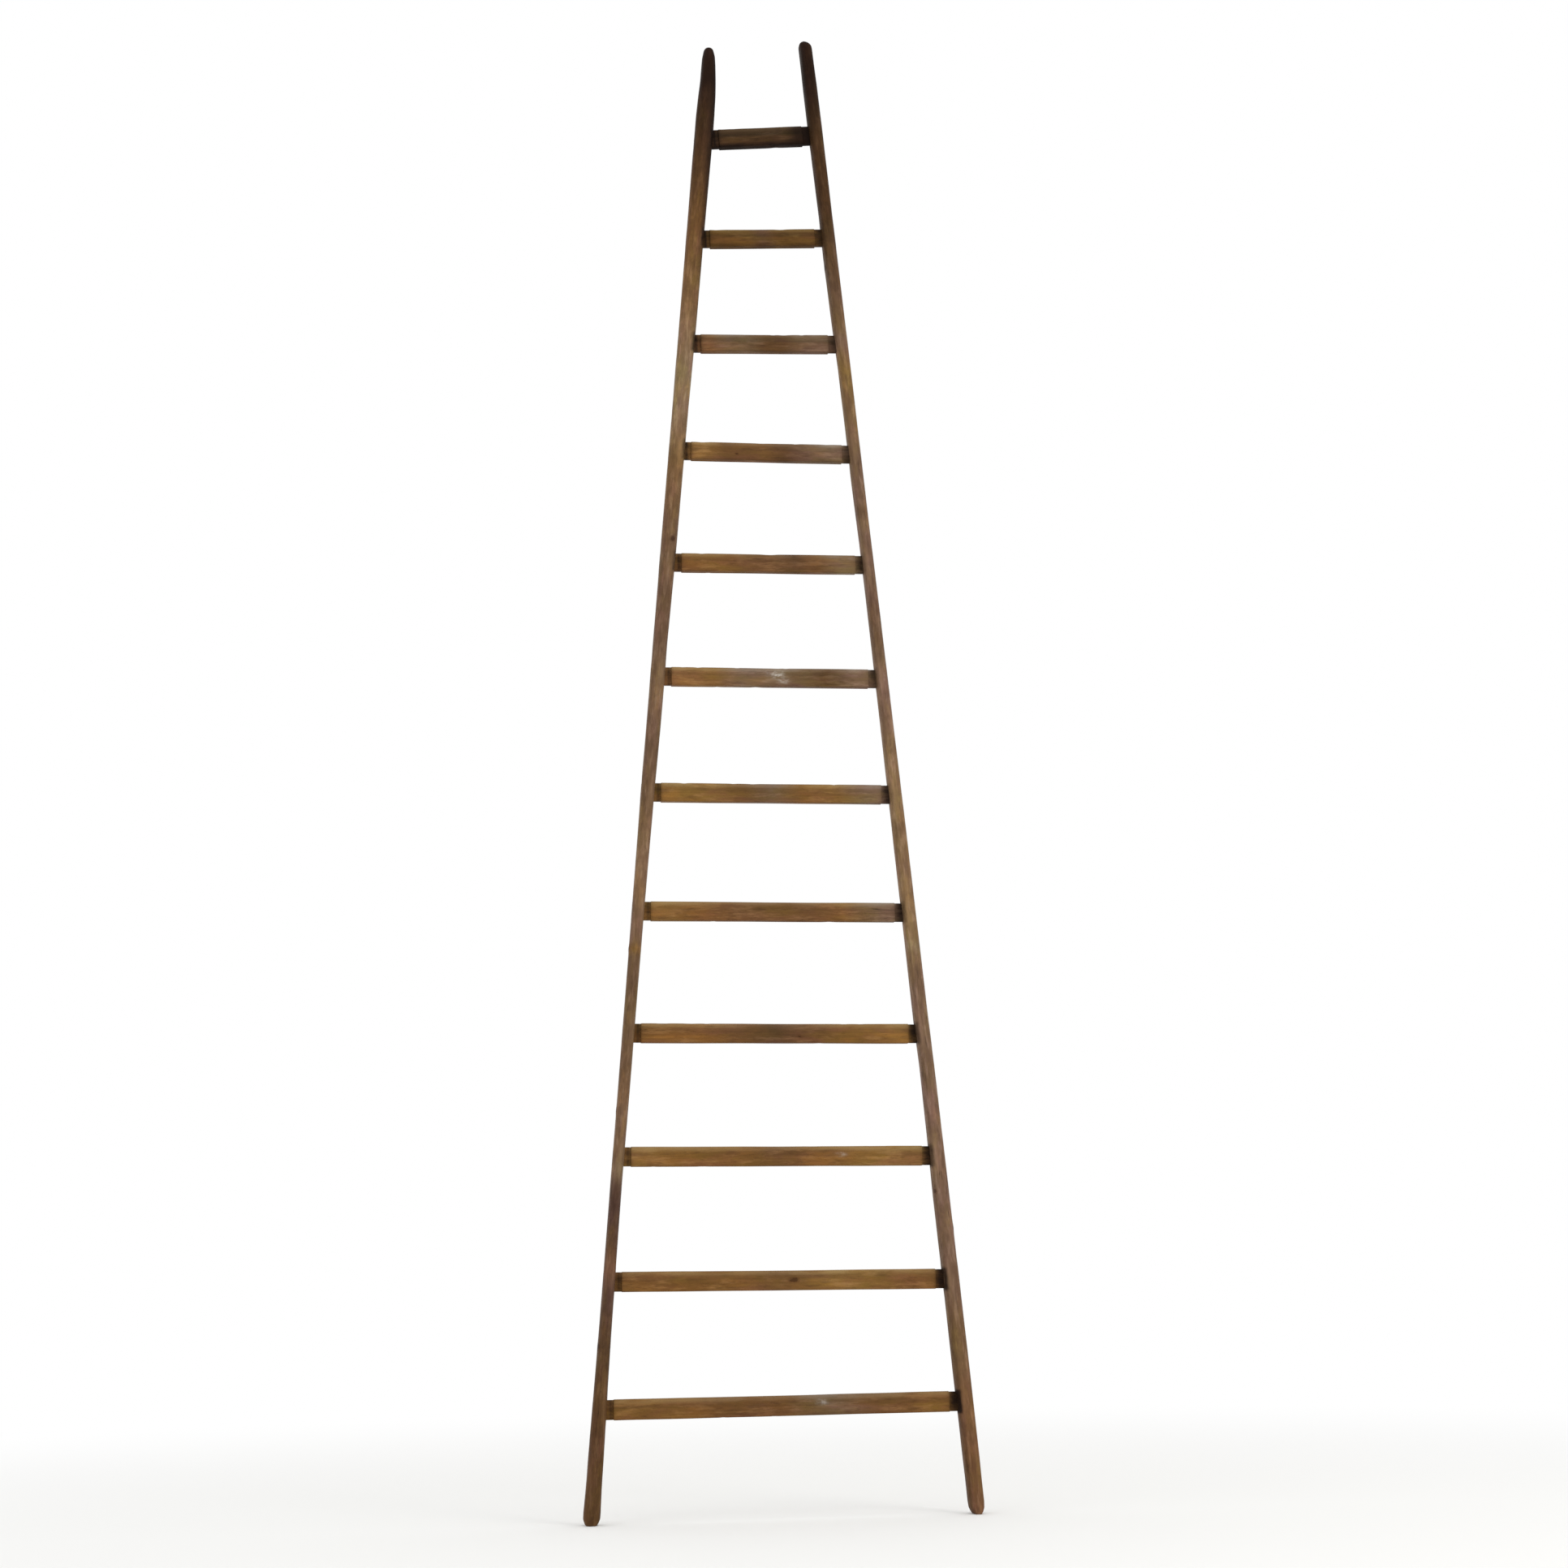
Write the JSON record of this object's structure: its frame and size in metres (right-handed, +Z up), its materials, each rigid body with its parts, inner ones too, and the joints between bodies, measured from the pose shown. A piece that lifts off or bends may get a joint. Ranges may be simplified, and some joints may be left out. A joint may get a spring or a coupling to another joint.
{
  "type": "wooden library ladder",
  "caption": "Tall tapered leaning ladder of wood: two slender rounded rails joined by flat shouldered rungs, wedged and pegged through the rails.",
  "frame": {"origin": "on the floor, midway between the two feet and midway through the depth of the rails", "axes": "+Z up along the ladder's length, +X across the ladder to the right as a climber faces it, +Y from the front to the back through the depth of the rails"},
  "size_m": [0.8944, 0.052, 3.56],
  "materials": {
    "rail_wood": "old waxed hardwood, brown, darker and polished towards the tips",
    "rung_wood": "old waxed hardwood, golden brown, worn arrises, dark necks",
    "wedge_wood": "split hardwood, dark with age",
    "peg_wood": "riven hardwood pegs, dark with age"
  },
  "bodies": {
    "root": {"left_rail": "rail_wood", "right_rail": "rail_wood", "left_rail_pegs": "peg_wood", "right_rail_pegs": "peg_wood", "rung_01": "rung_wood", "rung_01_left_wedge": "wedge_wood", "rung_01_right_wedge": "wedge_wood", "rung_02": "rung_wood", "rung_02_left_wedge": "wedge_wood", "rung_02_right_wedge": "wedge_wood", "rung_03": "rung_wood", "rung_03_left_wedge": "wedge_wood", "rung_03_right_wedge": "wedge_wood", "rung_04": "rung_wood", "rung_04_left_wedge": "wedge_wood", "rung_04_right_wedge": "wedge_wood", "rung_05": "rung_wood", "rung_05_left_wedge": "wedge_wood", "rung_05_right_wedge": "wedge_wood", "rung_06": "rung_wood", "rung_06_left_wedge": "wedge_wood", "rung_06_right_wedge": "wedge_wood", "rung_07": "rung_wood", "rung_07_left_wedge": "wedge_wood", "rung_07_right_wedge": "wedge_wood", "rung_08": "rung_wood", "rung_08_left_wedge": "wedge_wood", "rung_08_right_wedge": "wedge_wood", "rung_09": "rung_wood", "rung_09_left_wedge": "wedge_wood", "rung_09_right_wedge": "wedge_wood", "rung_10": "rung_wood", "rung_10_left_wedge": "wedge_wood", "rung_10_right_wedge": "wedge_wood", "rung_11": "rung_wood", "rung_11_left_wedge": "wedge_wood", "rung_11_right_wedge": "wedge_wood", "rung_12": "rung_wood", "rung_12_left_wedge": "wedge_wood", "rung_12_right_wedge": "wedge_wood"}
  },
  "joints": []
}
